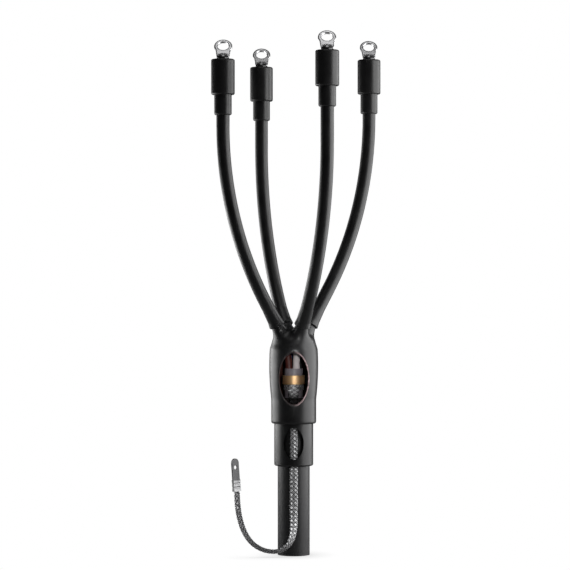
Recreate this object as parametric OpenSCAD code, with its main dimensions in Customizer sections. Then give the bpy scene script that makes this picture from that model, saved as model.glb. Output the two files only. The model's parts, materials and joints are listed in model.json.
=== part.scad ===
// Heat-shrink termination of a four-core low-voltage cable, with an earth braid.
// Millimetres, +Z up along the cable, front towards -Y.
// The origin is on the cable axis, at the cut lower end.

/* [Cable] */
// Diameter over the outer sheath
sheath_d = 32; // [29:0.5:40]
// Wall of the outer sheath
sheath_wall = 3; // [1.5:0.1:3.2]
// Height at which the outer sheath is cut back
sheath_top = 147; // [142:0.5:150]
// Thickness of the steel tape armour
armour_t = 1.2; // [0.6:0.1:1.4]
// Bare armour above the cut of the outer sheath
armour_step = 5; // [2:0.5:6]
// Bare inner sheath above the cut of the armour
bedding_step = 5; // [1:0.5:6]
// Diameter over the insulation of a core
core_d = 7; // [5.8:0.1:7.4]
// Gap between neighbouring cores
core_gap = 0.4; // [0.2:0.1:0.6]
// Diameter of a conductor
conductor_d = 5; // [3.5:0.1:5.5]

/* [Legs] */
// Turn of the first leg about the cable
leg_turn = 28; // [0:1:89]
// Distance of each lug from the cable axis
leg_reach = [87, 70, 79, 69]; // [66:1:95]
// Height of the lower edge of each lug sleeve
sleeve_z = [463.5, 458, 456.5, 463]; // [456:0.5:480]
// Height at which the cores begin to spread
spread_z = 184; // [183:0.5:185]
// Radius of the lower bend, where the cores spread
spread_r = 84; // [82:1:86]
// Radius of the upper bend, back to upright
return_r = 344; // [320:1:350]
// Steepest lean of a leg
leg_lean = 30.5; // [29.5:0.1:31]
// Diameter of a core tube
tube_d = 13; // [12:0.1:13.4]
// Diameter of a core tube at its flared mouth
tube_mouth_d = 16.8; // [15.8:0.1:17.6]
// Diameter of a core tube where its flare slackens
tube_waist_d = 14.7; // [14:0.1:15.2]
// Run of the steep part of the flare
flare_steep = 6; // [4:0.5:8]
// Run of the whole flare
flare_run = 21; // [19:0.5:26]

/* [Breakout boot] */
// Wall of the boot
boot_wall = 3; // [2:0.1:3.4]
// Height of the lower edge of the collar
collar_z = 131; // [128:0.5:134]
// Radius of the boot at its belly
belly_r = 24.5; // [24:0.1:26]
// Height of the belly
belly_z = 189; // [187:0.5:191]
// Radius of the long arc from the collar to the belly
belly_arc = 285; // [270:5:320]
// Radius of the shoulder between the belly and the neck
shoulder_r = 18; // [15:0.5:20]
// Height at which the shoulder begins
shoulder_z = 204; // [203.5:0.5:205]
// Radius of the neck under the fingers
neck_r = 21.9; // [21.4:0.1:22.4]
// Height at which the neck turns in to the crown between the fingers
neck_z = 216; // [214:0.5:217]
// Diameter of a finger at its root
finger_root_d = 20.6; // [19:0.1:22]
// Length of a finger's root below the end of the lower bend
finger_root_run = 10; // [8:0.5:11]
// Diameter of a finger where the core tube begins
finger_d = 13.8; // [12.6:0.1:14]
// Diameter of a finger at its tip, inside the core tube
finger_tip_d = 9.8; // [9.2:0.1:11]
// Straight run from the lower bend to the mouth of the core tube
mouth_run = 3; // [1:0.5:5]
// Length of a finger inside the core tube
finger_len = 15; // [10:0.5:18]
// Thickness of the adhesive inside the boot
lining_t = 0.8; // [0.4:0.1:1.2]
// Half the width of the oval window
boot_window_a = 14.4; // [11:0.1:15.5]
// Half the height of the oval window
boot_window_b = 25.6; // [22:0.1:25.8]
// Height of the middle of the window
boot_window_z = 176.4; // [175:0.1:177]

/* [Belt cuff] */
// Height of the lower edge of the cuff
cuff_z = 89; // [86:0.5:92]
// Length of the cuff
cuff_len = 51; // [49:0.5:54]
// Wall of the cuff
cuff_wall = 2.2; // [1.6:0.1:2.6]
// Half the width of its oval window
cuff_window_a = 9.9; // [7:0.1:10.5]
// Half the height of its oval window
cuff_window_b = 15.9; // [12:0.1:16.4]
// Height of the middle of its window
cuff_window_z = 111.8; // [110:0.1:112]
// Height of a ring of sealing mastic
mastic_h = 4; // [2:0.1:4.5]

/* [Screen clamp] */
// Thickness of the binder tape round the cores
binder_t = 0.3; // [0.2:0.1:0.6]
// Binder tape above the roll spring
binder_show = 6.8; // [4:0.1:8]
// Width of the roll spring
spring_w = 8.8; // [7:0.1:9.5]
// Thickness of the spring strip
spring_t = 0.4; // [0.2:0.1:0.6]
// Turns of the spring that lie all the way round
spring_turns = 2; // [1:1:3]

/* [Earth braid] */
// Width of the flat braid
braid_w = 8.4; // [6:0.1:10]
// Thickness of the flat braid
braid_t = 1.3; // [0.9:0.1:1.6]
// Length of the crimped ferrule of the braid lug
ferrule_len = 11.5; // [8:0.5:14]
// Thickness of the ferrule
ferrule_t = 3; // [2.2:0.1:4]
// Length of the palm of the braid lug
braid_palm_len = 21; // [18:0.5:26]
// Thickness of the palm of the braid lug
braid_palm_t = 1.6; // [1.2:0.1:2.2]
// Hole in the braid lug
braid_hole_d = 4.3; // [3.2:0.1:5.3]

/* [Lugs] */
// Diameter of the inner sleeve over the barrel
barrel_sleeve_d = 17.3; // [16:0.1:18.5]
// Length of the inner sleeve below the lug sleeve
barrel_sleeve_drop = 20; // [12:0.5:24]
// Diameter of the lug sleeve
lug_sleeve_d = 23.3; // [20:0.1:26]
// Length of the lug sleeve
lug_sleeve_len = 35; // [30:0.5:45]
// Top wall of the lug sleeve
lug_sleeve_lip = 3; // [2:0.1:5]
// Depth of a core tube inside the lug sleeve
tube_depth = 6; // [3:0.5:12]
// Diameter of the lug barrel
barrel_d = 9.5; // [8:0.1:11]
// Depth of the conductor in the barrel
crimp_depth = 22; // [15:0.5:24]
// Bare neck of the lug above its sleeve
neck_show = 0.8; // [0.8:0.1:4]
// Width of the palm
palm_w = 18.4; // [17:0.1:20]
// Width of the palm at its foot
palm_foot_w = 12.4; // [10:0.1:13]
// Thickness of the palm
palm_t = 3; // [2:0.1:4]
// Chamfer round the palm
palm_edge = 0.9; // [0.3:0.1:1.2]
// Lean of the palm, backwards from upright
palm_lean = 38; // [0:1:60]
// Run from the bend of the lug to the middle of its hole
hole_run = 16; // [15:0.1:18]
// Hole in the palm
hole_d = 11; // [8.4:0.1:13]

/* [Hidden] */
$fn = 96;
// Segments of the long arcs
fn_long = 720;
// Corners of an oval window
fn_oval = 48;
// Segments of a bar on a long arc
fn_bar = 96;
// Overrun of a cut past a face
cut = 1;
// Straight lengths lap over the ends of the bends, a hair thicker than they are
lap = 1;
lap_step = 0.05;

LEGS = [1, 2, 3, 4];
LEG_PIECES = ["conductor", "core_insulation", "core_tube", "barrel_sleeve", "lug_sleeve", "lug"];

// Cable layers, from the outside in
sheath_r = sheath_d / 2;
armour_r = sheath_r - sheath_wall;
bedding_r = armour_r - armour_t;
core_pitch_r = (core_d + core_gap) / sqrt(2);
binder_gap = 0.1;
core_bore_r = core_d / 2 + lap_step;
bundle_r = core_pitch_r + core_d / 2 + binder_gap;
armour_top = sheath_top + armour_step;
bedding_top = armour_top + bedding_step;

// Screen clamp, from the cores out
binder_rise = 2;
binder_top = spread_z + binder_rise;
binder_r = bundle_r + binder_t;
spring_z = binder_top - binder_show - spring_w;
spring_r = binder_r + braid_t;
spring_end_angle = 140;
braid_ring_drop = 6;
braid_ring_rise = 0.6;
strap_margin = 1;
strap_rise = 2;

// Belt cuff and boot collar
cuff_bore_r = sheath_r + braid_t;
cuff_r = cuff_bore_r + cuff_wall;
cuff_top = cuff_z + cuff_len;
cuff_round = 1.6;
collar_r = cuff_r + boot_wall;
collar_round = 1.6;
belly_x = belly_r - belly_arc;
shoulder_turn = asin((shoulder_z - belly_z) / belly_arc);
shoulder_at = [belly_x + (belly_arc - shoulder_r) * cos(shoulder_turn),
               belly_z + (belly_arc - shoulder_r) * sin(shoulder_turn)];
lining_over = 1.2;
lining_top = boot_window_z + boot_window_b + lining_over;

// Core tubes, each flared at its lower end over a finger of the boot
tube_r = tube_d / 2;
sleeve_room = 0.05;
tube_end_r = tube_r + lap_step + sleeve_room;
tube_edge = 0.6;
finger_bore_lean = 8;
finger_room = 0.05;
finger_tip = mouth_run + finger_len;
finger_slope = (finger_d - finger_tip_d) / 2 / finger_len;
// Distance from the end of the lower bend down to the crown, and how deep a root goes in there at least
crown_drop = (spread_point(leg_lean)[0] - neck_r) * sin(leg_lean)
    + (spread_point(leg_lean)[1] - neck_z) * cos(leg_lean);
root_bite = 1;
finger_root = max(finger_root_run, crown_drop + root_bite);
core_room = 0.2;

// Lug sleeves
barrel_sleeve_r = barrel_sleeve_d / 2;
lug_sleeve_r = lug_sleeve_d / 2;
sleeve_round = 1.6;
barrel_r = barrel_d / 2;
crimp_room = 0.05;
conductor_end_r = conductor_d / 2 + lap_step + crimp_room;
palm_root = 4;
palm_shoulder = 20;
palm_foot = 0.4;
neck_room = 0.2;
neck_overlap = 1;

// Route of the free braid, with the turn of its flat side about the route
BRAID_ROUTE = [
    [0, -17, 89], [0, -17, 75], [0, -17, 60], [0, -17.5, 45], [0, -18, 33], [-0.5, -18.5, 25],
    [-2, -19, 18], [-5, -19.5, 12], [-10, -20, 8], [-16, -20, 5.6], [-22, -20, 5.2],
    [-30, -20, 6.8], [-38.5, -20, 11.3], [-45, -20, 18], [-50, -20, 27], [-53.5, -20, 38],
    [-55.5, -20, 50], [-56.5, -20, 65]
];
BRAID_TURN = [0, 0, 0, 5, 15, 28, 38, 45, 50, 53, 53, 52, 50, 48, 46, 45, 44, 44];
braid_edge = 0.3;
ferrule_side = 0.3;
crimp_count = 2;
crimp_r = 1.6;
crimp_depth_each = 0.35;

CORE_COLOURS = ["#26262a", "#3d4a66", "#6b3226", "#b3a5a4"];

strap_angle = braid_w / (sheath_r + braid_t / 2) * 180 / PI;

function leg_azimuth(leg) = leg_turn + 90 * (leg - 1);
function reach(leg) = leg_reach[leg - 1];
function sleeve_base(leg) = sleeve_z[leg - 1];
function sleeve_top(leg) = sleeve_base(leg) + lug_sleeve_len;
function tube_top(leg) = sleeve_base(leg) + tube_depth;
// Point of the lower bend at a given lean, as radius and height
function spread_point(lean) = [core_pitch_r + spread_r * (1 - cos(lean)), spread_z + spread_r * sin(lean)];
// Straight run between the two bends
function straight_run(leg) =
    (reach(leg) - core_pitch_r - (spread_r + return_r) * (1 - cos(leg_lean))) / sin(leg_lean);
// Height at which the leg is upright again
function upright_z(leg) =
    spread_point(leg_lean)[1] + straight_run(leg) * cos(leg_lean) + return_r * sin(leg_lean);

// Placing

module on_leg(leg) {
    rotate([0, 0, leg_azimuth(leg)])
        children();
}

module on_lug(leg) {
    on_leg(leg)
        translate([reach(leg), 0, 0])
            children();
}

// Frames along a leg: the middle of its lower bend, the foot of its straight run,
// the middle of its upper bend and the foot of its upright end
module on_spread() {
    translate([core_pitch_r + spread_r, 0, spread_z])
        children();
}

module on_straight() {
    on_spread()
        rotate([0, leg_lean, 0])
            translate([-spread_r, 0, 0])
                children();
}

module on_return(leg) {
    on_straight()
        translate([-return_r, 0, straight_run(leg)])
            children();
}

module on_upright(leg) {
    on_return(leg)
        rotate([0, -leg_lean, 0])
            translate([return_r, 0, 0])
                children();
}

// Puts a palm drawn upright at its bend, with its face to the front
module on_palm(leg) {
    on_lug(leg)
        rotate([0, 0, -leg_azimuth(leg)])
            translate([0, 0, sleeve_top(leg) + neck_show])
                rotate([-palm_lean, 0, 0])
                    children();
}

module at_tail_end() {
    last = len(BRAID_ROUTE) - 1;
    run = BRAID_ROUTE[last] - BRAID_ROUTE[last - 1];
    translate(BRAID_ROUTE[last])
        rotate([0, atan2(run[0], run[2]), 0])
            rotate([0, 0, BRAID_TURN[last]])
                children();
}

// Shared shapes

// Half section of a ring with rounded outer corners
module ring_section(inner, outer, low, high, low_round = 0, high_round = 0) {
    wall = outer - inner;
    translate([inner, low + low_round])
        square([wall, high - low - low_round - high_round]);
    if (low_round > 0)
        corner_section(inner, outer, low, low + low_round, low_round);
    if (high_round > 0)
        corner_section(inner, outer, high - high_round, high - high_round, high_round);
}

// Rounded corner of a ring's half section, with the middle of its arc at a given height
module corner_section(inner, outer, low, arc_z, round) {
    translate([inner, low])
        square([outer - inner - round, round]);
    intersection() {
        translate([outer - round, arc_z])
            circle(r = round);
        translate([inner, low])
            square([outer - inner, round]);
    }
}

// Ellipse of half width a and half height b
module oval(a, b) {
    polygon([for (i = [0 : fn_oval - 1]) [a * cos(i * 360 / fn_oval), b * sin(i * 360 / fn_oval)]]);
}

// Oval hole through a front wall, from one depth to another in front of the axis
module front_window(a, b, height, near, far) {
    translate([0, -near, height])
        rotate([90, 0, 0])
            linear_extrude(height = far - near)
                oval(a, b);
}

// Round bar along the lower bend of a leg, between two leans
module spread_bar(r, from_lean, to_lean) {
    on_spread()
        rotate([90, 0, 0])
            rotate_extrude(angle = to_lean - from_lean, start = 180 - to_lean)
                translate([spread_r, 0])
                    circle(r = r);
}

// Round bar along the straight run of a leg, from the end of the lower bend
module straight_bar(r, to, from = -lap) {
    on_straight()
        translate([0, 0, from])
            cylinder(h = to - from, r = r + lap_step);
}

// Round bar along the upper bend and the upright end of a leg
module return_bar(leg, r, top) {
    on_return(leg)
        rotate([90, 0, 0])
            rotate_extrude(angle = leg_lean, start = 0, $fn = fn_long)
                translate([return_r, 0])
                    circle(r = r, $fn = fn_bar);
    on_upright(leg)
        translate([0, 0, -lap])
            cylinder(h = top - upright_z(leg) + lap, r = r + lap_step);
}

// Round bar along a whole leg, from the lean at which it starts to its top
module leg_bar(leg, r, from_lean, top) {
    spread_bar(r, from_lean, leg_lean);
    straight_bar(r, straight_run(leg) + lap);
    return_bar(leg, r, top);
}

// Round bar from the cut end of the cable to the top of a leg
module core_bar(leg, r, top, low = 0) {
    translate([core_pitch_r, 0, low])
        cylinder(h = spread_z - low + lap, r = r + lap_step);
    leg_bar(leg, r, 0, top);
}

// Wedge of a ring in front of the axis
module front_sector(inner, outer, low, high, angle) {
    rotate([0, 0, -90 - angle / 2])
        rotate_extrude(angle = angle)
            ring_section(inner, outer, low, high);
}

// Half section of the boot, drawn in by an inset, from a given height up
module boot_profile(inset, from_z, round = 0) {
    belly_low = max(from_z, collar_z + collar_round);
    shoulder_cut = belly_z + (belly_arc - inset) * sin(shoulder_turn);
    side = neck_r - inset;
    side_top = neck_z - inset * (1 - sin(leg_lean)) / cos(leg_lean);
    crown_top = neck_z + (neck_r * sin(leg_lean) - inset) / cos(leg_lean);
    ring_section(0, collar_r - inset, from_z, belly_z, round);
    intersection() {
        translate([belly_x, belly_z])
            circle(r = belly_arc - inset, $fn = fn_long);
        translate([0, belly_low])
            square([belly_r, shoulder_cut - belly_low]);
    }
    intersection() {
        translate(shoulder_at)
            circle(r = shoulder_r - inset, $fn = fn_long);
        translate([0, shoulder_cut])
            square([belly_r, side_top - shoulder_cut]);
    }
    polygon([[0, belly_z], [side, belly_z], [side, side_top], [0, crown_top]]);
}

module boot_solid(inset, from_z, round = 0) {
    rotate_extrude()
        boot_profile(inset, from_z, round);
}

// Bores of the four fingers, for the cores
module finger_bores() {
    for (leg = LEGS)
        on_leg(leg) {
            spread_bar(core_d / 2 + core_room, finger_bore_lean, leg_lean);
            straight_bar(core_d / 2 + core_room, finger_tip + cut);
        }
}

// Finger of the boot, tapered from its root and more gently inside the core tube
module finger(leg) {
    on_leg(leg)
        on_straight()
            rotate_extrude()
                polygon([
                    [0, -finger_root], [finger_root_d / 2, -finger_root],
                    [finger_d / 2, mouth_run], [finger_tip_d / 2, finger_tip], [0, finger_tip]
                ]);
}

// Lower end of a core tube, flared over the finger
module tube_flare() {
    on_straight()
        rotate_extrude()
            polygon([
                [0, mouth_run], [tube_mouth_d / 2 - tube_edge, mouth_run],
                [tube_mouth_d / 2, mouth_run + tube_edge], [tube_waist_d / 2, mouth_run + flare_steep],
                [tube_r, mouth_run + flare_run], [0, mouth_run + flare_run]
            ]);
}

// Room below the mouth of a core tube
module below_mouth() {
    on_straight()
        translate([0, 0, mouth_run - flare_run])
            cylinder(h = flare_run, r = tube_mouth_d);
}

// Seat of a finger in its core tube
module finger_seat() {
    low = mouth_run - cut;
    tip_r = finger_tip_d / 2 + finger_room;
    on_straight()
        rotate_extrude()
            polygon([
                [0, low], [tip_r + finger_slope * (finger_len + cut), low],
                [tip_r, finger_tip], [tip_r, finger_tip + finger_room], [0, finger_tip + finger_room]
            ]);
}

// Free braid: a flat bar swept along its route

function unit(v) = v / norm(v);
function route_way(i) =
    unit(BRAID_ROUTE[min(i + 1, len(BRAID_ROUTE) - 1)] - BRAID_ROUTE[max(i - 1, 0)]);
function route_across(i) = unit(cross(route_way(i), [0, -1, 0]));
function route_face(i) = cross(route_across(i), route_way(i));
function turned_across(i) = route_across(i) * cos(BRAID_TURN[i]) + route_face(i) * sin(BRAID_TURN[i]);
function turned_face(i) = cross(turned_across(i), route_way(i));
// Corners of the braid's section, with chamfered edges
function braid_corners(w, t, e) = [
    [w, -(t - e)], [w, t - e], [w - e, t], [-(w - e), t],
    [-w, t - e], [-w, -(t - e)], [-(w - e), -t], [w - e, -t]
];
function braid_ring(i) = [
    for (c = braid_corners(braid_w / 2, braid_t / 2, braid_edge))
        BRAID_ROUTE[i] + turned_across(i) * c[0] + turned_face(i) * c[1]
];

// Sub-parts

module outer_sheath() {
    color("#1c1c1e")
        rotate_extrude()
            ring_section(armour_r, sheath_r, 0, sheath_top);
}

module armour_tape() {
    color("#8d9096")
        rotate_extrude()
            ring_section(bedding_r, armour_r, 0, armour_top);
}

module inner_sheath() {
    color("#3a3a3d")
        difference() {
            cylinder(h = bedding_top, r = bedding_r);
            for (leg = LEGS)
                on_leg(leg)
                    translate([core_pitch_r, 0, -cut])
                        cylinder(h = bedding_top + 2 * cut, r = core_bore_r);
        }
}

module binder_tape() {
    color("#7d7686")
        rotate_extrude()
            ring_section(bundle_r, binder_r, bedding_top, binder_top);
}

// Strip wound on itself, with the free end of its last turn lying on the rest
module roll_spring() {
    wound_r = spring_r + spring_turns * spring_t;
    color("#c98f5a") {
        rotate_extrude()
            ring_section(spring_r, wound_r, spring_z, spring_z + spring_w);
        front_sector(wound_r - spring_t / 2, wound_r + spring_t, spring_z, spring_z + spring_w,
                     spring_end_angle);
    }
}

// Braid wound round the binder under the spring, then laid down over the cuts and along the sheath
module braid_strap() {
    knee_z = sheath_top + strap_rise;
    ring_z = spring_z - braid_ring_drop;
    color("#8e8f92") {
        rotate_extrude()
            ring_section(binder_r, spring_r, ring_z, spring_z + spring_w + braid_ring_rise);
        front_sector(sheath_r, cuff_bore_r, cuff_z, knee_z, strap_angle);
        rotate([90, 0, -90])
            translate([0, 0, -braid_w / 2])
                linear_extrude(height = braid_w)
                    polygon([
                        [sheath_r, knee_z], [sheath_r, knee_z - strap_margin],
                        [cuff_bore_r, knee_z - strap_margin], [cuff_bore_r, knee_z],
                        [spring_r, ring_z], [spring_r, spring_z - strap_margin],
                        [binder_r, spring_z - strap_margin], [binder_r, ring_z]
                    ]);
    }
}

// Two rings that seat the cuff on the sheath and bed the braid
module sealing_mastic() {
    color("#202022")
        difference() {
            for (low = [cuff_z, cuff_top - mastic_h])
                rotate_extrude()
                    ring_section(sheath_r, cuff_bore_r, low, low + mastic_h);
            front_sector(sheath_r - cut, cuff_bore_r + cut, cuff_z - cut, cuff_top + cut, strap_angle);
        }
}

module belt_cuff() {
    color("#141416")
        difference() {
            rotate_extrude()
                ring_section(cuff_bore_r, cuff_r, cuff_z, cuff_top, cuff_round);
            front_window(cuff_window_a, cuff_window_b, cuff_window_z,
                         sheath_r - 2 * cut, cuff_r + cut);
        }
}

module breakout_boot() {
    color("#121214")
        difference() {
            union() {
                boot_solid(0, collar_z, collar_round);
                for (leg = LEGS)
                    finger(leg);
            }
            boot_solid(boot_wall, collar_z - cut);
            finger_bores();
            front_window(boot_window_a, boot_window_b, boot_window_z,
                         collar_r / 2, belly_r + cut);
        }
}

module adhesive_lining() {
    color("#5a2420")
        difference() {
            intersection() {
                boot_solid(boot_wall, cuff_top);
                cylinder(h = lining_top, r = belly_r);
            }
            boot_solid(boot_wall + lining_t, cuff_top - cut);
            front_window(boot_window_a, boot_window_b, boot_window_z, collar_r / 2, belly_r + cut);
        }
}

module conductor(leg) {
    color("#b8733f")
        on_leg(leg)
            core_bar(leg, conductor_d / 2, tube_top(leg) + crimp_depth);
}

module core_insulation(leg) {
    color(CORE_COLOURS[leg - 1])
        on_leg(leg)
            difference() {
                core_bar(leg, core_d / 2, tube_top(leg));
                core_bar(leg, conductor_d / 2, tube_top(leg) + cut, -cut);
            }
}

module core_tube(leg) {
    color("#18181a")
        on_leg(leg)
            difference() {
                union() {
                    tube_flare();
                    straight_bar(tube_r, straight_run(leg) + lap, mouth_run);
                    difference() {
                        return_bar(leg, tube_r, tube_top(leg));
                        below_mouth();
                    }
                }
                finger_seat();
                straight_bar(core_d / 2, straight_run(leg) + lap, mouth_run - cut);
                return_bar(leg, core_d / 2, tube_top(leg) + cut);
            }
}

// Sleeve over the end of the core tube, stepped in to the lug barrel
module barrel_sleeve(leg) {
    color("#151517")
        on_lug(leg)
            rotate_extrude() {
                ring_section(tube_end_r, barrel_sleeve_r, sleeve_base(leg) - barrel_sleeve_drop,
                             tube_top(leg), sleeve_round);
                ring_section(barrel_r, barrel_sleeve_r, tube_top(leg),
                             sleeve_top(leg) - lug_sleeve_lip);
            }
}

module lug_sleeve(leg) {
    lip_z = sleeve_top(leg) - lug_sleeve_lip;
    color("#131315")
        on_lug(leg)
            rotate_extrude() {
                ring_section(barrel_sleeve_r, lug_sleeve_r, sleeve_base(leg), lip_z, sleeve_round);
                ring_section(barrel_r, lug_sleeve_r, lip_z, sleeve_top(leg), 0, sleeve_round);
            }
}

// Neck of a lug, pressed flat from the round of the barrel to the thickness of the palm
module pressed_neck() {
    round_half = barrel_r + neck_room;
    press = (round_half - palm_t / 2) / palm_root;
    top = palm_root + neck_overlap;
    thin_half = palm_t / 2 - press * neck_overlap;
    // Where the leaning neck clears the top of the sleeve
    clear = max(0, barrel_r * sin(palm_lean) - neck_show) / cos(palm_lean) + neck_room;
    intersection() {
        translate([0, 0, clear])
            cylinder(h = top - clear, r = barrel_r);
        rotate([90, 0, 90])
            linear_extrude(height = 2 * barrel_d, center = true)
                polygon([
                    [-round_half, -cut], [round_half, -cut], [round_half, 0],
                    [thin_half, top], [-thin_half, top], [-round_half, 0]
                ]);
    }
}

// Palm of a lug: a disc with chamfered rims, and a plate that widens from the neck to it
module palm() {
    rim_r = palm_w / 2;
    flat_r = rim_r - palm_edge;
    plate_r = flat_r - neck_room;
    half = palm_t / 2;
    translate([0, 0, hole_run])
        rotate([90, 0, 0])
            rotate_extrude()
                polygon([
                    [0, -half], [flat_r, -half], [rim_r, palm_edge - half],
                    [rim_r, half - palm_edge], [flat_r, half], [0, half]
                ]);
    rotate([90, 0, 0])
        linear_extrude(height = palm_t, center = true)
            polygon([
                [-palm_foot_w / 2, palm_foot], [palm_foot_w / 2, palm_foot],
                [plate_r * cos(palm_shoulder), hole_run - plate_r * sin(palm_shoulder)],
                [-plate_r * cos(palm_shoulder), hole_run - plate_r * sin(palm_shoulder)]
            ]);
}

// Tubular lug: barrel, bend, neck pressed flat, and a palm that leans back
module lug(leg) {
    color("#c9ccd1")
        difference() {
            union() {
                on_lug(leg)
                    translate([0, 0, tube_top(leg)])
                        cylinder(h = sleeve_top(leg) + neck_show - tube_top(leg), r = barrel_r);
                on_palm(leg) {
                    sphere(r = barrel_r + lap_step);
                    pressed_neck();
                    palm();
                }
            }
            on_lug(leg)
                translate([0, 0, tube_top(leg) - cut])
                    cylinder(h = crimp_depth + cut, r = conductor_end_r);
            on_palm(leg)
                translate([0, 0, hole_run])
                    rotate([90, 0, 0])
                        cylinder(h = 4 * palm_t, d = hole_d, center = true);
        }
}

module earth_braid() {
    sides = 8;
    rings = len(BRAID_ROUTE);
    points = [for (i = [0 : rings - 1]) each braid_ring(i)];
    walls = [
        for (i = [0 : rings - 2], s = [0 : sides - 1])
            each [
                [i * sides + s, i * sides + (s + 1) % sides, (i + 1) * sides + s],
                [i * sides + (s + 1) % sides, (i + 1) * sides + (s + 1) % sides, (i + 1) * sides + s]
            ]
    ];
    start_cap = [for (s = [0 : sides - 1]) sides - 1 - s];
    end_cap = [for (s = [0 : sides - 1]) (rings - 1) * sides + s];
    color("#8e8f92")
        polyhedron(points = points, faces = concat([start_cap], walls, [end_cap]));
}

// Small flat lug pressed on the end of the braid
module braid_lug() {
    ferrule_w = braid_w + 2 * ferrule_side;
    palm_end = ferrule_len + braid_palm_len;
    color("#c9ccd1")
        at_tail_end()
            difference() {
                union() {
                    translate([-ferrule_w / 2, -ferrule_t / 2, 0])
                        cube([ferrule_w, ferrule_t, ferrule_len]);
                    translate([-ferrule_w / 2, -braid_palm_t / 2, 0])
                        cube([ferrule_w, braid_palm_t, palm_end - ferrule_w / 2]);
                    translate([0, 0, palm_end - ferrule_w / 2])
                        rotate([90, 0, 0])
                            cylinder(h = braid_palm_t, d = ferrule_w, center = true);
                }
                translate([0, 0, palm_end - ferrule_w / 2 - braid_hole_d])
                    rotate([90, 0, 0])
                        cylinder(h = 2 * ferrule_t, d = braid_hole_d, center = true);
                for (i = [1 : crimp_count], side = [-1, 1])
                    translate([0, side * (ferrule_t / 2 + crimp_r - crimp_depth_each),
                               i * ferrule_len / (crimp_count + 1)])
                        rotate([0, 90, 0])
                            cylinder(h = 2 * ferrule_w, r = crimp_r, center = true);
            }
}

outer_sheath();
armour_tape();
inner_sheath();
binder_tape();
roll_spring();
braid_strap();
sealing_mastic();
belt_cuff();
breakout_boot();
adhesive_lining();
earth_braid();
braid_lug();
for (leg = LEGS) {
    conductor(leg);
    core_insulation(leg);
    core_tube(leg);
    barrel_sleeve(leg);
    lug_sleeve(leg);
    lug(leg);
}
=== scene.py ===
"""Blender scene of a four-core cable termination: its finish, its woven earth braid and a plain studio."""
import json
import math

import bpy
import numpy as np
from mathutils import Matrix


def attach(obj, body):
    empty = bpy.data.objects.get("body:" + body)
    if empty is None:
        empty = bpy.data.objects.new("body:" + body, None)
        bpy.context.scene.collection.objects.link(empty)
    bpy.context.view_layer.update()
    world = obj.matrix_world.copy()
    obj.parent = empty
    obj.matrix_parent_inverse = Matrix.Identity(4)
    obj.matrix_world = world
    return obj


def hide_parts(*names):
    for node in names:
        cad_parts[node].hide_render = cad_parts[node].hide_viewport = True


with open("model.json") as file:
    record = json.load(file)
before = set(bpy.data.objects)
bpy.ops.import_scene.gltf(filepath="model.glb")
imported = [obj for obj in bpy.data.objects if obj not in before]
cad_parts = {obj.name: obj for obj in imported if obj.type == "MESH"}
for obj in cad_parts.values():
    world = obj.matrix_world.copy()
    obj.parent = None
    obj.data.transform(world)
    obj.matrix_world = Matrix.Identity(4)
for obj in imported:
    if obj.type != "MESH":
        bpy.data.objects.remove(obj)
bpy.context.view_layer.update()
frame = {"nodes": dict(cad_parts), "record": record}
nodes = frame["nodes"]

MM = 0.001
LEGS = (1, 2, 3, 4)

# Boot: mesh size and passes that soften its edges, and heights between which its crown's blending sets in
BOOT_VOXEL = 0.8 * MM
BOOT_PASSES = 12
CROWN_LOW = 205 * MM
CROWN_HIGH = 212 * MM
CROWN_PASSES = 60

# Window of the boot, as in its solid
WINDOW_HALF_WIDTH = 14.4 * MM
WINDOW_HALF_HEIGHT = 25.6 * MM
WINDOW_MIDDLE = 176.4 * MM

# Painted highlight along the window's edge: its end in shares of the half sizes, and its fading to back and
# left
HIGHLIGHT_EDGE = (1.045, 1.085)
HIGHLIGHT_FRONT = (-6 * MM, -3 * MM)
HIGHLIGHT_RIGHT = (0.0, 0.8)
HIGHLIGHT_LEAST = 0.03
HIGHLIGHT_COLOUR = (0.80, 0.58, 0.59)

# Lugs: mesh size and passes that soften their edges, and the painted shade on the pressed neck below the
# hole
LUG_VOXEL = 0.35 * MM
LUG_PASSES = 45
NECK_DROP = 10.0 * MM
NECK_HALF = 5.5 * MM
NECK_FADE = 1.0 * MM
NECK_SHADE_SHARE = 0.12

# Braid lug: height above which its palm gets painted shade
PALM_SHADE_HEIGHT = 75.5 * MM
PALM_SHADE_FADE = 2.0 * MM
PALM_SHADE_SHARE = 0.3

# Depths of fine lines and grooves in the finishes
DRAWN_DEPTH = 0.04 * MM
CORE_DEPTH = 0.03 * MM
BRUSHED_DEPTH = 0.008 * MM
WIRE_DEPTH = 0.08 * MM

# Camera: level, in front of the part, framing a square field at the cable's axis
CAMERA_DISTANCE = 2.25
CAMERA_X = -0.0087
CAMERA_Z = 0.2694
FIELD = 0.570
SENSOR_MM = 36.0

# Studio: a dim room, and a pale floor with a soft shadow near the part
ROOM_LIGHT = 0.035
FLOOR_HALF = 6.0
FLOOR_DROP = 0.4 * MM
FLOOR_TONE = 0.3
SHADOW_REACH = 0.03
SHADOW_TONE = 0.75

# Panels of light: place, aim, width, height and radiance
PANELS = {
    "right_softbox": ((0.55, 0.0, 0.30), (0, 0, 0.30), 0.9, 0.75, 3.4),
    "left_softbox": ((-0.46, 0.20, 0.18), (0, 0, 0.18), 0.5, 0.24, 4.2),
    "left_rim": ((-0.42, 0.36, 0.36), (0, 0, 0.40), 0.35, 0.30, 1.8),
    "top_softbox": ((0.0, -0.42, 1.25), (0, 0, 0.4), 0.7, 0.62, 1.2),
    "right_front": ((0.36, -0.25, 0.50), (0.05, 0, 0.44), 0.22, 0.40, 1.1),
}

# Spot lamp on the window
SPOT_PLACE = (0.10, -0.75, 0.30)
SPOT_AIM = (0, 0, 0.187)
SPOT_WATTS = 12.0
SPOT_DEGREES = 4.6
SPOT_BLEND = 0.5
SPOT_RADIUS = 0.03

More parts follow.
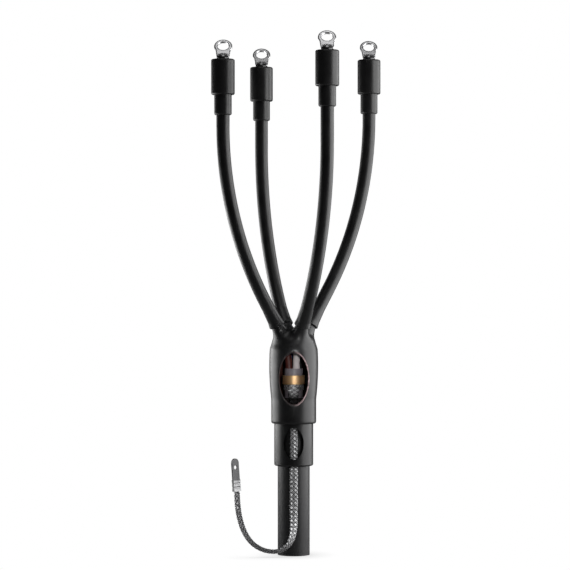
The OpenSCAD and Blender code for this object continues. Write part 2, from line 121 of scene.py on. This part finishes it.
# Free end of the earth braid: points of its route in millimetres, and its turn about that route in degrees
BRAID_ROUTE = [
    (0, -17, 89), (0, -17, 75), (0, -17, 60), (0, -17.5, 45), (0, -18, 33), (-0.5, -18.5, 25),
    (-2, -19, 18), (-5, -19.5, 12), (-10, -20, 8), (-16, -20, 5.6), (-22, -20, 5.2),
    (-30, -20, 6.8), (-38.5, -20, 11.3), (-45, -20, 18), (-50, -20, 27), (-53.5, -20, 38),
    (-55.5, -20, 50), (-56.5, -20, 65),
]
BRAID_TURN = (0, 0, 0, 5, 15, 28, 38, 45, 50, 53, 53, 52, 50, 48, 46, 45, 44, 44)
BRAID_WIDTH = 8.4 * MM
BRAID_THICKNESS = 1.3 * MM
BRAID_STEPS_PER_POINT = 24

# Weave of the braid: ribbons of wire in each direction, and their own section
CARRIERS = 4
BRAID_LEAD = 17 * MM
RIBBON_THICKNESS = 0.24 * MM
RIBBON_FILL = 0.94
RIBBON_STEP = 0.42 * MM
RIBBON_SHOULDER = 0.6
ROOM_PER_SWING = 2.6
WIRES_PER_RIBBON = 9

# Painted shade in the grooves of the weave: where it begins and ends across a ribbon and in its depth, and
# its tone
GROOVE_ACROSS = (0.6, 1.0)
GROOVE_UNDER = (-0.5, 0.55)
GROOVE_SHADE_SHARE = 0.2

# Clamped end of the braid: radius and height along its line in millimetres, and its fan towards the spring
STRAP_LINE = [
    (9.8, 171), (9.8, 167), (10.3, 163.5), (12.6, 157.6), (15.4, 152), (16.5, 148), (16.65, 143),
    (16.65, 128), (16.65, 108), (16.65, 89),
]
STRAP_FAN_Z = (149 * MM, 166 * MM)
STRAP_FAN = (1.0, 1.55)
BAND_RADIUS = 9.78 * MM
BAND_LOW = 164.6 * MM
BAND_HIGH = 179.6 * MM
BAND_CARRIERS = 16

# Near-black band on the clamped braid at the end of the sheath: heights where it sets in and fades out
BLACK_BAND_START = (142 * MM, 144 * MM)
BLACK_BAND_END = (156.5 * MM, 163 * MM)
BLACK_BAND_COLOUR = (0.010, 0.009, 0.009)


def place_camera():
    data = bpy.data.cameras.new("camera")
    data.sensor_width = SENSOR_MM
    data.lens = SENSOR_MM * CAMERA_DISTANCE / FIELD
    camera = bpy.data.objects.new("camera", data)
    camera.location = (CAMERA_X, -CAMERA_DISTANCE, CAMERA_Z)
    camera.rotation_euler = (math.pi / 2, 0, 0)
    bpy.context.collection.objects.link(camera)
    bpy.context.scene.camera = camera


def mesh_piece(name, points, faces, uvs=None):
    """A mesh object from points in metres; uvs gives one pair for each point."""
    mesh = bpy.data.meshes.new(name)
    mesh.from_pydata([tuple(p) for p in points], [], [tuple(f) for f in faces])
    if uvs is not None:
        layer = mesh.uv_layers.new(name="wires")
        corners = np.empty(len(mesh.loops), dtype=np.int32)
        mesh.loops.foreach_get("vertex_index", corners)
        layer.data.foreach_set("uv", np.asarray(uvs, dtype=np.float32)[corners].ravel())
    mesh.polygons.foreach_set("use_smooth", np.ones(len(mesh.polygons), dtype=bool))
    mesh.update()
    piece = bpy.data.objects.new(name, mesh)
    bpy.context.collection.objects.link(piece)
    return piece


def unit(vectors):
    return vectors / np.linalg.norm(vectors, axis=-1, keepdims=True)


def smooth_route(points, steps):
    """Catmull-Rom curve through points, with steps samples between each pair."""
    points = np.asarray(points, dtype=float)
    padded = np.vstack([2 * points[0] - points[1], points, 2 * points[-1] - points[-2]])
    t = np.linspace(0, 1, steps, endpoint=False)[:, None]
    spans = []
    for a, b, c, d in zip(padded, padded[1:], padded[2:], padded[3:]):
        spans.append(0.5 * (2 * b + (c - a) * t + (2 * a - 5 * b + 4 * c - d) * t**2
                            + (3 * b - a - 3 * c + d) * t**3))
    return np.vstack([*spans, points[-1:]])


def run_lengths(points):
    """Distance along a line of points, from its start to each of them."""
    return np.concatenate([[0], np.cumsum(np.linalg.norm(np.diff(points, axis=0), axis=1))])


def racetrack(run, flat, radius):
    """Points and outward normals on a flat oval: two straight sides of length flat, two round ends."""
    arc = math.pi * radius
    run = np.mod(run, 2 * (flat + arc))
    back = run >= flat + arc
    local = np.where(back, run - flat - arc, run)
    on_side = local < flat
    angle = np.where(on_side, 0, (local - flat) / radius)
    x = np.where(on_side, local - flat / 2, flat / 2 + radius * np.sin(angle))
    y = np.where(on_side, radius, radius * np.cos(angle))
    sign = np.where(back, -1, 1)
    return sign * x, sign * y, sign * np.sin(angle), sign * np.cos(angle)


def woven(surface, around, long, carriers, lead, swing):
    """Ribbons of wire woven over and under each other on a closed surface.

    surface(run, along, lift) gives points for the distance round it, along it and off it. around is the
    distance round it, lead the length in which a ribbon goes once round, and swing how far it moves in
    and out. The uvs give the place across a ribbon and its depth in the weave, each from -1 to 1.
    """
    pitch = around / carriers
    slope = around / lead
    lean = math.atan(slope)
    half = pitch * math.cos(lean) * RIBBON_FILL / 2
    along = np.linspace(0, long, max(2, int(long / RIBBON_STEP)))
    corners = [(-1, 0), (-RIBBON_SHOULDER, 1), (RIBBON_SHOULDER, 1), (1, 0),
               (RIBBON_SHOULDER, -1), (-RIBBON_SHOULDER, -1)]
    sides = len(corners)
    points, faces, uvs = [], [], []
    for way in (1, -1):
        for carrier in range(carriers):
            run = carrier * pitch + way * slope * along
            crossing = (run + way * slope * along) / pitch
            lift = way * swing * np.cos(math.pi * (crossing + carrier))
            first = len(points) * len(along) * sides
            rings = np.empty((len(along), sides, 3))
            marks = np.empty((len(along), sides, 2))
            marks[:, :, 1] = (lift / swing)[:, None]
            for k, (across, up) in enumerate(corners):
                rings[:, k] = surface(
                    run + across * half * math.cos(lean),
                    np.clip(along - way * across * half * math.sin(lean), 0, long),
                    lift + up * RIBBON_THICKNESS / 2,
                )
                marks[:, k, 0] = across
            points.append(rings.reshape(-1, 3))
            uvs.append(marks.reshape(-1, 2))
            for i in range(len(along) - 1):
                low = first + i * sides
                for k in range(sides):
                    after = (k + 1) % sides
                    faces.append((low + k, low + after, low + sides + after, low + sides + k))
            faces.append(tuple(first + k for k in reversed(range(sides))))
            faces.append(tuple(first + (len(along) - 1) * sides + k for k in range(sides)))
    return np.vstack(points), faces, np.vstack(uvs)


def joined(name, *parts):
    """One mesh object from several lists of points, faces and uvs."""
    points, faces, uvs = [], [], []
    count = 0
    for part_points, part_faces, part_uvs in parts:
        points.append(part_points)
        uvs.append(part_uvs)
        faces.extend(tuple(k + count for k in face) for face in part_faces)
        count += len(part_points)
    return mesh_piece(name, np.vstack(points), faces, np.vstack(uvs))


def braid_section():
    """The oval that the ribbons swing about: its flat length, end radius and girth, and the swing."""
    swing = (BRAID_THICKNESS / 2 - RIBBON_THICKNESS) / ROOM_PER_SWING
    radius = BRAID_THICKNESS / 2 - RIBBON_THICKNESS / 2 - swing
    flat = BRAID_WIDTH - BRAID_THICKNESS
    return flat, radius, 2 * (flat + math.pi * radius), swing


def braid_tail():
    """The free braid, woven along its route from the cuff to its lug."""
    route = smooth_route(np.array(BRAID_ROUTE) * MM, BRAID_STEPS_PER_POINT)
    turns = smooth_route(np.array(BRAID_TURN, dtype=float)[:, None], BRAID_STEPS_PER_POINT)[:, 0]
    distance = run_lengths(route)
    way = unit(np.gradient(route, distance, axis=0))
    across = unit(np.cross(way, (0, -1, 0)))
    face = np.cross(across, way)
    turn = np.radians(turns)[:, None]
    turned = across * np.cos(turn) + face * np.sin(turn)
    turned_face = np.cross(turned, way)
    flat, radius, around, swing = braid_section()

    def at(values, along):
        return np.stack([np.interp(along, distance, values[:, k]) for k in range(3)], axis=-1)

    def surface(run, along, lift):
        x, y, nx, ny = racetrack(run, flat, radius)
        return (at(route, along) + at(turned, along) * (x + lift * nx)[:, None]
                + at(turned_face, along) * (y + lift * ny)[:, None])

    piece = joined("braid_tail", woven(surface, around, distance[-1], CARRIERS, BRAID_LEAD, swing))
    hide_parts("earth_braid")
    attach(piece, "root")
    return piece


def clamped_braid():
    """The braid's other end: wound round the binder under the spring, then laid down along the sheath."""
    flat, radius, around, swing = braid_section()
    line = smooth_route(np.array(STRAP_LINE) * MM, BRAID_STEPS_PER_POINT)
    distance = run_lengths(line)
    way = unit(np.gradient(line, distance, axis=0))

    def laid(run, along, lift):
        x, y, nx, ny = racetrack(run, flat, radius)
        r = np.interp(along, distance, line[:, 0])
        z = np.interp(along, distance, line[:, 1])
        out = np.interp(along, distance, -way[:, 1])
        up = np.interp(along, distance, way[:, 0])
        off = y + lift * ny
        fan = np.interp(z, STRAP_FAN_Z, STRAP_FAN)
        angle = (x + lift * nx) * fan / r
        reach = r + off * out
        return np.stack([reach * np.sin(angle), -reach * np.cos(angle), z + off * up], axis=-1)

    def wound(run, along, lift):
        angle = run / BAND_RADIUS
        reach = BAND_RADIUS + lift
        return np.stack([reach * np.sin(angle), -reach * np.cos(angle), BAND_LOW + along], axis=-1)

    girth = 2 * math.pi * BAND_RADIUS
    piece = joined(
        "braid_strap_weave",
        woven(laid, around, distance[-1], CARRIERS, BRAID_LEAD, swing),
        woven(wound, girth, BAND_HIGH - BAND_LOW, BAND_CARRIERS, BRAID_LEAD * girth / around, swing),
    )
    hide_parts("braid_strap")
    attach(piece, "root")
    return piece


def add_node(tree, kind, inputs=None, **settings):
    """A shader node; an input is a value or another node's output socket."""
    made = tree.nodes.new("ShaderNode" + kind)
    for key, value in settings.items():
        setattr(made, key, value)
    for key, value in (inputs or {}).items():
        if isinstance(value, bpy.types.NodeSocket):
            tree.links.new(value, made.inputs[key])
        else:
            made.inputs[key].default_value = value
    return made


def new_material(name):
    """A node material and its principled shader."""
    material = bpy.data.materials.new(name)
    material.use_nodes = True
    tree = material.node_tree
    return material, tree, tree.nodes["Principled BSDF"]


def place_in_part(tree):
    """Sockets X, Y and Z of the place in the part's own frame, in metres."""
    coords = add_node(tree, "TexCoord").outputs["Object"]
    return add_node(tree, "SeparateXYZ", {"Vector": coords}).outputs


def stretched_noise(tree, scale, stretch=(1, 1, 1), detail=3.0):
    """Noise in the part's own frame, with scale in waves for each metre."""
    coords = add_node(tree, "TexCoord").outputs["Object"]
    spread = add_node(tree, "Mapping", {"Vector": coords, "Scale": stretch}).outputs["Vector"]
    return add_node(tree, "TexNoise", {"Vector": spread, "Scale": scale, "Detail": detail}).outputs["Fac"]


def maths(tree, operation, *values):
    """The result of a maths node on numbers or sockets."""
    return add_node(tree, "Math", dict(enumerate(values)), operation=operation).outputs[0]


def ranged(tree, value, low, high, from_low=0.3, from_high=0.7):
    """Maps a value to the range from low to high."""
    return add_node(tree, "MapRange", {"Value": value, "From Min": from_low, "From Max": from_high,
                                       "To Min": low, "To Max": high}).outputs["Result"]


def mixed(tree, factor, first, second):
    """A colour between two colours."""
    mix = add_node(tree, "Mix", data_type="RGBA")
    tree.links.new(factor, mix.inputs["Factor"])
    for socket, colour in ((mix.inputs[6], first), (mix.inputs[7], second)):
        if isinstance(colour, bpy.types.NodeSocket):
            tree.links.new(colour, socket)
        else:
            socket.default_value = (*colour, 1)
    return mix.outputs[2]


def bumped(tree, height, distance, strength, before=None):
    """A bump from a height that goes from 0 to 1 over a distance in metres."""
    inputs = {"Height": height, "Distance": distance, "Strength": strength}
    if before is not None:
        inputs["Normal"] = before
    return add_node(tree, "Bump", inputs).outputs["Normal"]


def dimmed(colour, share):
    return [share * channel for channel in colour]


def window_edge_highlight(tree, tone):
    """Adds a painted highlight along the edge of the boot's window: a pale line, fullest at its right."""
    place = place_in_part(tree)
    across = ranged(tree, place["X"], -1, 1, -WINDOW_HALF_WIDTH, WINDOW_HALF_WIDTH)
    up = ranged(tree, place["Z"], -1, 1, WINDOW_MIDDLE - WINDOW_HALF_HEIGHT,
                WINDOW_MIDDLE + WINDOW_HALF_HEIGHT)
    for node in (across.node, up.node):
        node.clamp = False
    spot = add_node(tree, "CombineXYZ", {"X": across, "Y": up}).outputs["Vector"]
    reach = add_node(tree, "VectorMath", {0: spot}, operation="LENGTH").outputs["Value"]
    edge = ranged(tree, reach, 1, 0, *HIGHLIGHT_EDGE)
    front = ranged(tree, place["Y"], 1, 0, *HIGHLIGHT_FRONT)
    right = ranged(tree, across, HIGHLIGHT_LEAST, 1, *HIGHLIGHT_RIGHT)
    share = maths(tree, "MULTIPLY", maths(tree, "MULTIPLY", edge, front), right)
    return mixed(tree, share, tone, HIGHLIGHT_COLOUR)


def black_plastic(name, dark, light, rough, grain, grain_depth, drawn, windowed=False):
    """Black moulded or drawn plastic: clouded tone, uneven gloss, fine grain and faint lines along z."""
    material, tree, shader = new_material(name)
    clouds = stretched_noise(tree, scale=55)
    lines = stretched_noise(tree, drawn, stretch=(1, 1, 0.04))
    peel = stretched_noise(tree, grain, detail=2)
    tone = mixed(tree, ranged(tree, clouds, 0, 1), dark, light)
    # The boot gets a painted highlight, a pale line along its window's edge
    if windowed:
        tone = window_edge_highlight(tree, tone)
    link = tree.links.new
    link(tone, shader.inputs["Base Color"])
    link(ranged(tree, clouds, rough - 0.04, rough + 0.05), shader.inputs["Roughness"])
    soft = bumped(tree, lines, DRAWN_DEPTH, strength=0.5)
    link(bumped(tree, peel, grain_depth, strength=0.6, before=soft), shader.inputs["Normal"])
    return material


def core_plastic(name, colour, shade):
    """Coloured core insulation with a slight sheen and faint drawing lines."""
    material, tree, shader = new_material(name)
    clouds = stretched_noise(tree, scale=180)
    lines = stretched_noise(tree, scale=1500, stretch=(1, 1, 0.05))
    link = tree.links.new
    link(mixed(tree, ranged(tree, clouds, 0, 1), colour, shade), shader.inputs["Base Color"])
    link(ranged(tree, clouds, 0.3, 0.42), shader.inputs["Roughness"])
    link(bumped(tree, lines, CORE_DEPTH, strength=0.5), shader.inputs["Normal"])
    return material


def painted_palm_shade(tree, tone, dull):
    """Paints shade on the braid lug above its ferrule."""
    half = PALM_SHADE_FADE / 2
    darkened = ranged(tree, place_in_part(tree)["Z"], 0, 1, PALM_SHADE_HEIGHT - half, PALM_SHADE_HEIGHT + half)
    return mixed(tree, darkened, tone, dull)


def painted_neck_shade(tree, tone, dull, hole):
    """Paints shade on the pressed neck of a lug, which lies below its hole."""
    x, _, z = hole["pos_m"]
    place = place_in_part(tree)
    half = NECK_FADE / 2
    offset = maths(tree, "ABSOLUTE", maths(tree, "SUBTRACT", place["X"], x))
    drop = maths(tree, "SUBTRACT", z, place["Z"])
    near = ranged(tree, offset, 1, 0, NECK_HALF - half, NECK_HALF + half)
    under = ranged(tree, drop, 0, 1, NECK_DROP - half, NECK_DROP + half)
    return mixed(tree, maths(tree, "MULTIPLY", near, under), tone, dull)


def bright_metal(name, light, dark, rough, brush=900, metallic=1.0, darkened=False, hole=None):
    """Metal with a soft mottle and fine brushed lines along z; painted shade on the braid lug's top or on a
    lug's neck if asked.
    """
    material, tree, shader = new_material(name)
    mottle = stretched_noise(tree, scale=150)
    lines = stretched_noise(tree, brush, stretch=(1, 1, 0.08), detail=2)
    tone = mixed(tree, ranged(tree, mottle, 0, 1), light, dark)
    # Painted shade on the braid lug's palm above its ferrule
    if darkened:
        tone = painted_palm_shade(tree, tone, dimmed(dark, PALM_SHADE_SHARE))
    # Painted shade on a lug's pressed neck
    if hole is not None:
        tone = painted_neck_shade(tree, tone, dimmed(dark, NECK_SHADE_SHARE), hole)
    link = tree.links.new
    link(tone, shader.inputs["Base Color"])
    link(ranged(tree, lines, rough - 0.05, rough + 0.08), shader.inputs["Roughness"])
    link(bumped(tree, lines, BRUSHED_DEPTH, strength=0.3), shader.inputs["Normal"])
    shader.inputs["Metallic"].default_value = metallic
    return material


def wire_metal(name, light, dark):
    """Tinned ribbons: fine wires side by side across each of them, with painted shade in the grooves and
    near-black at the end of the sheath.
    """
    material, tree, shader = new_material(name)
    wires = add_node(tree, "UVMap", uv_map="wires").outputs["UV"]
    wave = add_node(tree, "TexWave", {"Vector": wires, "Scale": WIRES_PER_RIBBON / 4, "Distortion": 0.6,
                                      "Detail": 1.0}, bands_direction="X").outputs["Fac"]
    mottle = stretched_noise(tree, scale=420)
    spot = add_node(tree, "SeparateXYZ", {"Vector": wires}).outputs
    # Painted shade at a ribbon's edges and where it dips under the ribbons that cross it
    edge = ranged(tree, maths(tree, "ABSOLUTE", spot["X"]), 0, 1, *GROOVE_ACROSS)
    under = ranged(tree, spot["Y"], 1, 0, *GROOVE_UNDER)
    groove_shade = maths(tree, "MAXIMUM", edge, under)
    tone = mixed(tree, ranged(tree, wave, 0, 1, from_low=0.0, from_high=0.8), dark, light)
    darkened = mixed(tree, ranged(tree, mottle, 0, 0.5), tone, dark)
    groove_shaded = mixed(tree, groove_shade, darkened, dimmed(dark, GROOVE_SHADE_SHARE))
    # The braid goes near-black between two heights at the end of the sheath
    height = place_in_part(tree)["Z"]
    black_band = maths(tree, "MULTIPLY", ranged(tree, height, 0, 1, *BLACK_BAND_START),
                  ranged(tree, height, 1, 0, *BLACK_BAND_END))
    link = tree.links.new
    link(mixed(tree, black_band, groove_shaded, BLACK_BAND_COLOUR), shader.inputs["Base Color"])
    link(bumped(tree, wave, WIRE_DEPTH, strength=0.8), shader.inputs["Normal"])
    shader.inputs["Metallic"].default_value = 0.7
    shader.inputs["Roughness"].default_value = 0.4
    return material


def finish_node(name, material):
    """Gives a CAD node its material in every slot."""
    mesh = nodes[name].data
    if not mesh.materials:
        mesh.materials.append(material)
    for k in range(len(mesh.materials)):
        mesh.materials[k] = material


def soften(name, voxel, passes):
    """Blends a CAD node's edges with a fine even mesh and smoothing, as moulding and pressing do."""
    remesh = nodes[name].modifiers.new("even_mesh", "REMESH")
    remesh.mode = "VOXEL"
    remesh.voxel_size = voxel
    remesh.use_smooth_shade = True
    smooth = nodes[name].modifiers.new("blend", "SMOOTH")
    smooth.factor = 0.5
    smooth.iterations = passes


def blend_crown(name):
    """Melts the boot's fingers into its body: positions are averaged over the crown, above the window."""
    tree = bpy.data.node_groups.new("crown_blend", "GeometryNodeTree")
    tree.interface.new_socket("Geometry", in_out="INPUT", socket_type="NodeSocketGeometry")
    tree.interface.new_socket("Geometry", in_out="OUTPUT", socket_type="NodeSocketGeometry")
    start = tree.nodes.new("NodeGroupInput")
    end = tree.nodes.new("NodeGroupOutput")
    place = tree.nodes.new("GeometryNodeInputPosition").outputs["Position"]
    blur = tree.nodes.new("GeometryNodeBlurAttribute")
    blur.data_type = "FLOAT_VECTOR"
    blur.inputs["Iterations"].default_value = CROWN_PASSES
    height = add_node(tree, "SeparateXYZ", {"Vector": place}).outputs["Z"]
    share = ranged(tree, height, 0, 1, CROWN_LOW, CROWN_HIGH)
    mix = add_node(tree, "Mix", {"Factor": share}, data_type="VECTOR")
    move = tree.nodes.new("GeometryNodeSetPosition")
    link = tree.links.new
    link(place, [s for s in blur.inputs if s.enabled][0])
    link(place, [s for s in mix.inputs if s.enabled][1])
    link([s for s in blur.outputs if s.enabled][0], [s for s in mix.inputs if s.enabled][2])
    link([s for s in mix.outputs if s.enabled][0], move.inputs["Position"])
    link(start.outputs[0], move.inputs["Geometry"])
    link(move.outputs["Geometry"], end.inputs[0])
    nodes[name].modifiers.new("crown_blend", "NODES").node_group = tree


def plastics():
    """Materials of the plastic nodes, by node name."""
    shrunk = {"dark": (0.006, 0.006, 0.0065), "light": (0.012, 0.012, 0.0125), "rough": 0.36,
              "grain": 900, "grain_depth": 0.03 * MM, "drawn": 700}
    shrink = black_plastic("heat_shrink", **shrunk)
    plan = {
        "belt_cuff": shrink,
        "breakout_boot": black_plastic("boot_shrink", **shrunk, windowed=True),
        "outer_sheath": black_plastic("sheath", (0.014, 0.014, 0.015), (0.026, 0.026, 0.027), rough=0.42,
                                      grain=2200, grain_depth=0.05 * MM, drawn=1500),
        "sealing_mastic": black_plastic("mastic", (0.008, 0.008, 0.009), (0.014, 0.013, 0.013), rough=0.5,
                                        grain=500, grain_depth=0.15 * MM, drawn=400),
        "inner_sheath": core_plastic("bedding", (0.020, 0.018, 0.018), (0.035, 0.030, 0.030)),
        "adhesive_lining": core_plastic("adhesive", (0.065, 0.022, 0.017), (0.038, 0.013, 0.010)),
        "binder_tape": core_plastic("binder", (0.31, 0.28, 0.31), (0.23, 0.21, 0.23)),
        "core_insulation_1": core_plastic("core_black", (0.020, 0.020, 0.021), (0.032, 0.032, 0.033)),
        "core_insulation_2": core_plastic("core_blue", (0.035, 0.10, 0.30), (0.025, 0.07, 0.22)),
        "core_insulation_3": core_plastic("core_brown", (0.105, 0.028, 0.022), (0.070, 0.019, 0.015)),
        "core_insulation_4": core_plastic("core_grey", (0.80, 0.74, 0.74), (0.68, 0.62, 0.62)),
    }
    for leg in LEGS:
        for sleeve in ("core_tube", "barrel_sleeve", "lug_sleeve"):
            plan[f"{sleeve}_{leg}"] = shrink
    return plan


def metals():
    """Materials of the metal nodes, by node name."""
    mounts = {mount["name"]: mount for mount in frame["record"]["mounts"]}
    copper = bright_metal("copper", (0.83, 0.56, 0.36), (0.70, 0.42, 0.25), rough=0.30)
    plan = {
        "armour_tape": bright_metal("steel_tape", (0.56, 0.57, 0.58), (0.42, 0.43, 0.44), rough=0.34,
                                    brush=700),
        "roll_spring": bright_metal("spring_copper", (0.94, 0.62, 0.33), (0.82, 0.51, 0.25), rough=0.42,
                                    metallic=0.8),
        # Braid lug: a darker copy of the lugs' tin, painted shade all over
        "braid_lug": bright_metal("shaded_tin", (0.36, 0.36, 0.365), (0.28, 0.28, 0.285), rough=0.34,
                                  darkened=True),
    }
    for leg in LEGS:
        plan[f"conductor_{leg}"] = copper
        plan[f"lug_{leg}"] = bright_metal(f"tinned_{leg}", (0.80, 0.80, 0.81), (0.72, 0.72, 0.73),
                                          rough=0.30, hole=mounts[f"lug_hole_{leg}"])
    return plan


def studio_world():
    """White to the camera; a dim even room for light and reflections."""
    world = bpy.data.worlds.new("studio")
    world.use_nodes = True
    bpy.context.scene.world = world
    tree = world.node_tree
    tree.nodes.clear()
    room = add_node(tree, "Background", {"Color": (1, 1, 1, 1), "Strength": ROOM_LIGHT})
    white = add_node(tree, "Background", {"Color": (1, 1, 1, 1), "Strength": 1.0})
    seen = add_node(tree, "LightPath").outputs["Is Camera Ray"]
    mix = add_node(tree, "MixShader", {0: seen, 1: room.outputs[0], 2: white.outputs[0]})
    out = add_node(tree, "OutputWorld")
    tree.links.new(mix.outputs[0], out.inputs["Surface"])


def floor():
    """A pale sheet under the part: white to the camera, with a soft shadow where the part stands."""
    corners = [(-FLOOR_HALF, -FLOOR_HALF, 0), (FLOOR_HALF, -FLOOR_HALF, 0),
               (FLOOR_HALF, FLOOR_HALF, 0), (-FLOOR_HALF, FLOOR_HALF, 0)]
    sheet = mesh_piece("floor", corners, [(0, 1, 2, 3)])
    sheet.location.z = -FLOOR_DROP
    material, tree, shader = new_material("floor")
    shade = add_node(tree, "AmbientOcclusion", {"Distance": SHADOW_REACH}, samples=8).outputs["AO"]
    white = add_node(tree, "Emission", {"Color": ranged(tree, shade, SHADOW_TONE, 1.0, 0.5, 1.0),
                                        "Strength": 1.0})
    seen = add_node(tree, "LightPath").outputs["Is Camera Ray"]
    mix = add_node(tree, "MixShader", {0: seen, 1: shader.outputs[0], 2: white.outputs[0]})
    tree.links.new(mix.outputs[0], tree.nodes["Material Output"].inputs["Surface"])
    shader.inputs["Base Color"].default_value = (FLOOR_TONE, FLOOR_TONE, FLOOR_TONE, 1)
    shader.inputs["Roughness"].default_value = 1.0
    shader.inputs["Specular IOR Level"].default_value = 0.0
    sheet.data.materials.append(material)


def add_lamp(data, place, aim):
    """A lamp at place, turned to aim."""
    lamp = bpy.data.objects.new(data.name, data)
    away = np.array(place) - np.array(aim)
    lamp.location = place
    lamp.rotation_euler = (math.atan2(math.hypot(away[0], away[1]), away[2]), 0,
                           math.atan2(away[0], -away[1]))
    bpy.context.collection.objects.link(lamp)


def light_panel(name, place, aim, width, height, radiance):
    """A rectangular lamp, whose power follows from its size and radiance."""
    data = bpy.data.lights.new(name, "AREA")
    data.shape = "RECTANGLE"
    data.size = width
    data.size_y = height
    data.energy = radiance * math.pi * width * height
    add_lamp(data, place, aim)


def window_spot():
    data = bpy.data.lights.new("window_spot", "SPOT")
    data.energy = SPOT_WATTS
    data.spot_size = math.radians(SPOT_DEGREES)
    data.spot_blend = SPOT_BLEND
    data.shadow_soft_size = SPOT_RADIUS
    add_lamp(data, SPOT_PLACE, SPOT_AIM)


bpy.context.scene.view_settings.view_transform = "Standard"
place_camera()
wire = wire_metal("braid", (0.95, 0.95, 0.96), (0.34, 0.34, 0.35))
for woven_piece in (braid_tail(), clamped_braid()):
    woven_piece.data.materials.append(wire)
for node_name, finish in {**plastics(), **metals()}.items():
    finish_node(node_name, finish)
soften("breakout_boot", BOOT_VOXEL, BOOT_PASSES)
blend_crown("breakout_boot")
for leg in LEGS:
    soften(f"lug_{leg}", LUG_VOXEL, LUG_PASSES)
studio_world()
floor()
for panel_name, panel in PANELS.items():
    light_panel(panel_name, *panel)
window_spot()
